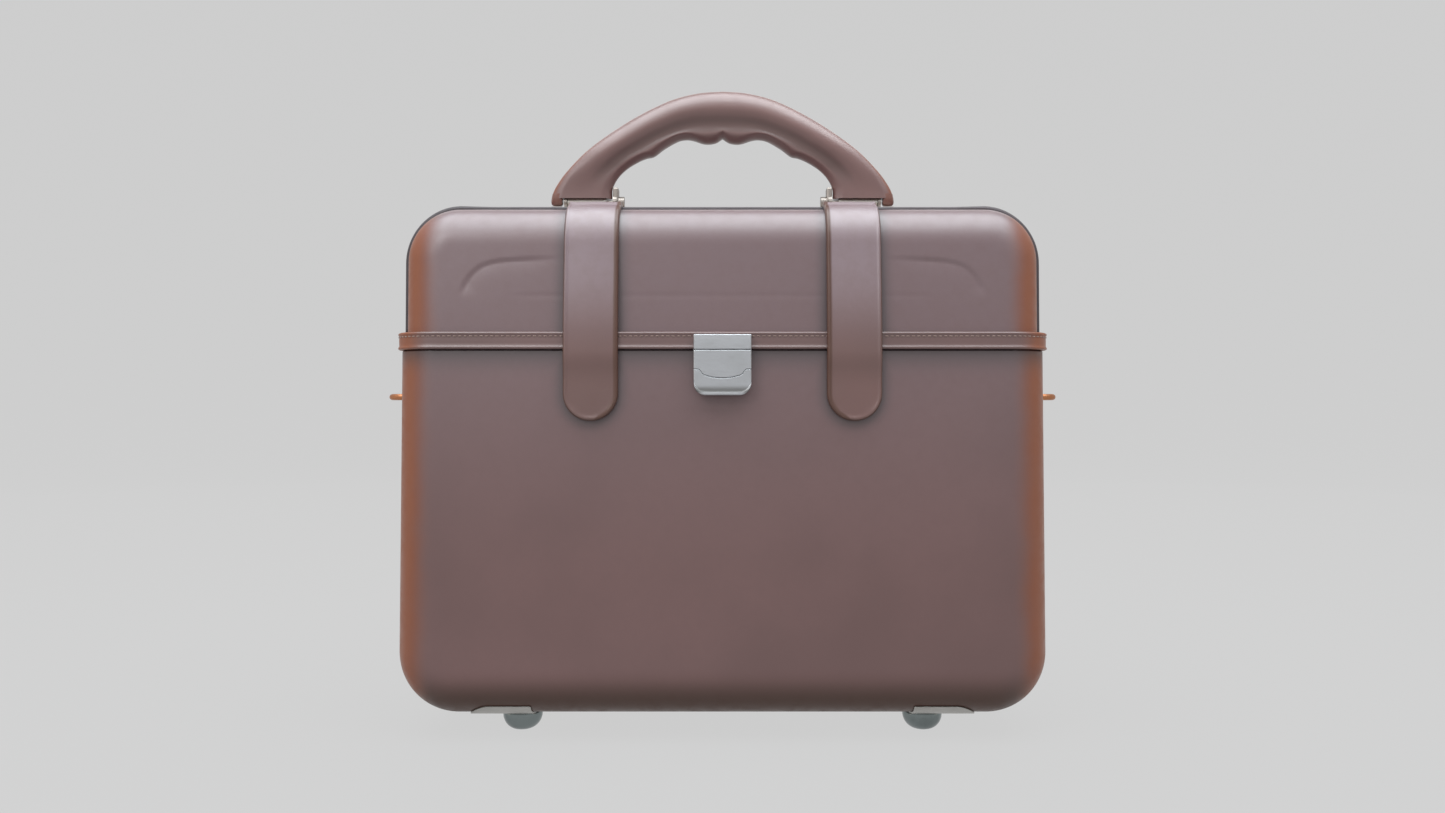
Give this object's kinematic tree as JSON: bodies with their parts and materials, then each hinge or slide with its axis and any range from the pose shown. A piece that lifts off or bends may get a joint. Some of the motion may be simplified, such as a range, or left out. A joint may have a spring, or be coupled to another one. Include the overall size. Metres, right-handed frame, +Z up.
{
  "type": "leather briefcase",
  "caption": "Upright hard-sided leather case with a rear-hinged lid, straps over the lid, a hasp lock, a swing handle, side rings and domed feet.",
  "frame": {"origin": "on the floor under the middle of the case, at the height of the feet's undersides", "axes": "+X along the case's width to its right seen from the front, -Y towards the front with the lock, +Z up"},
  "size_m": [0.4602, 0.1338, 0.4301],
  "materials": {
    "case_leather": "semi-gloss, fine grain",
    "strap_leather": "semi-gloss, smooth",
    "band_leather": "semi-gloss, folded edges",
    "grip_leather": "polished, smooth",
    "welt_leather": "matte",
    "lining": "matte suede cloth",
    "steel": "satin",
    "lock_metal": "satin",
    "foot_metal": "dark polished",
    "ring_metal": "aged copper brown"
  },
  "bodies": {
    "case": {"lower_shell": "case_leather", "lower_lining": "lining", "rim_tongue": "steel", "body_welt_front": "welt_leather", "body_welt_rear": "welt_leather", "hinge_leaf_body": "steel", "hinge_pin": "steel", "lock_keeper": "steel", "strap_keeper_left": "steel", "strap_keeper_right": "steel", "foot_front_left": "foot_metal", "foot_front_right": "foot_metal", "foot_rear_left": "foot_metal", "foot_rear_right": "foot_metal", "foot_plate_front_left": "lock_metal", "foot_plate_front_right": "lock_metal", "foot_plate_rear_left": "lock_metal", "foot_plate_rear_right": "lock_metal", "ring_bracket_left": "ring_metal", "ring_bracket_right": "ring_metal", "ring_rivet_left_lower": "ring_metal", "ring_rivet_left_upper": "ring_metal", "ring_rivet_right_lower": "ring_metal", "ring_rivet_right_upper": "ring_metal"},
    "lid": {"lid_shell": "case_leather", "lid_lining": "lining", "lid_band": "band_leather", "lid_welt_front": "welt_leather", "lid_welt_rear": "welt_leather", "hinge_leaf_lid": "steel", "lock_upper_plate": "lock_metal", "hasp_pin": "steel", "strap_left": "strap_leather", "strap_right": "strap_leather", "strap_rivet_left": "steel", "strap_rivet_right": "steel", "handle_bracket_left": "steel", "handle_bracket_right": "steel", "handle_pin_left": "steel", "handle_pin_right": "steel", "bracket_rivet_left_front": "steel", "bracket_rivet_left_rear": "steel", "bracket_rivet_right_front": "steel", "bracket_rivet_right_rear": "steel"},
    "hasp": {"hasp_flap": "lock_metal", "tab_spring": "steel"},
    "tab": {"thumb_tab": "lock_metal"},
    "left_strap_end": {"strap_end_left": "strap_leather", "strap_magnet_left": "steel"},
    "right_strap_end": {"strap_end_right": "strap_leather", "strap_magnet_right": "steel"},
    "handle": {"handle_grip": "grip_leather", "handle_core": "steel"},
    "left_ring": {"side_ring_left": "ring_metal"},
    "right_ring": {"side_ring_right": "ring_metal"}
  },
  "joints": [
    {"name": "lid_hinge", "type": "hinge", "parent": "case", "child": "lid", "pos_m": [0, 0.06097, 0.2494], "axis": [-1, 0, 0], "range_deg": [0, 105]},
    {"name": "hasp_swing", "type": "hinge", "parent": "lid", "child": "hasp", "pos_m": [0, -0.0653, 0.2475], "axis": [-1, 0, 0], "range_deg": [0, 90]},
    {"name": "tab_slide", "type": "slide", "parent": "hasp", "child": "tab", "axis": [0, 0, -1], "range_m": [0, 0.003], "stiffness_N_per_m": 300, "springref_m": -0.003, "deforming": ["tab_spring"]},
    {"name": "left_strap_flex", "type": "hinge", "parent": "lid", "child": "left_strap_end", "pos_m": [-0.084, -0.06386, 0.2497], "axis": [-1, 0, 0], "range_deg": [0, 110], "stiffness_Nm_per_rad": 0.01, "springref_deg": -11.46},
    {"name": "right_strap_flex", "type": "hinge", "parent": "lid", "child": "right_strap_end", "pos_m": [0.084, -0.06386, 0.2497], "axis": [-1, 0, 0], "range_deg": [0, 110], "stiffness_Nm_per_rad": 0.01, "springref_deg": -11.46},
    {"name": "handle_swing", "type": "hinge", "parent": "lid", "child": "handle", "pos_m": [0, 0, 0.3545], "axis": [1, 0, 0], "range_deg": [-75, 75]},
    {"name": "left_ring_swing", "type": "hinge", "parent": "case", "child": "left_ring", "pos_m": [-0.2145, 0, 0.2196], "axis": [0, 1, 0], "range_deg": [-85, 85]},
    {"name": "right_ring_swing", "type": "hinge", "parent": "case", "child": "right_ring", "pos_m": [0.2145, 0, 0.2196], "axis": [0, -1, 0], "range_deg": [-85, 85]}
  ]
}
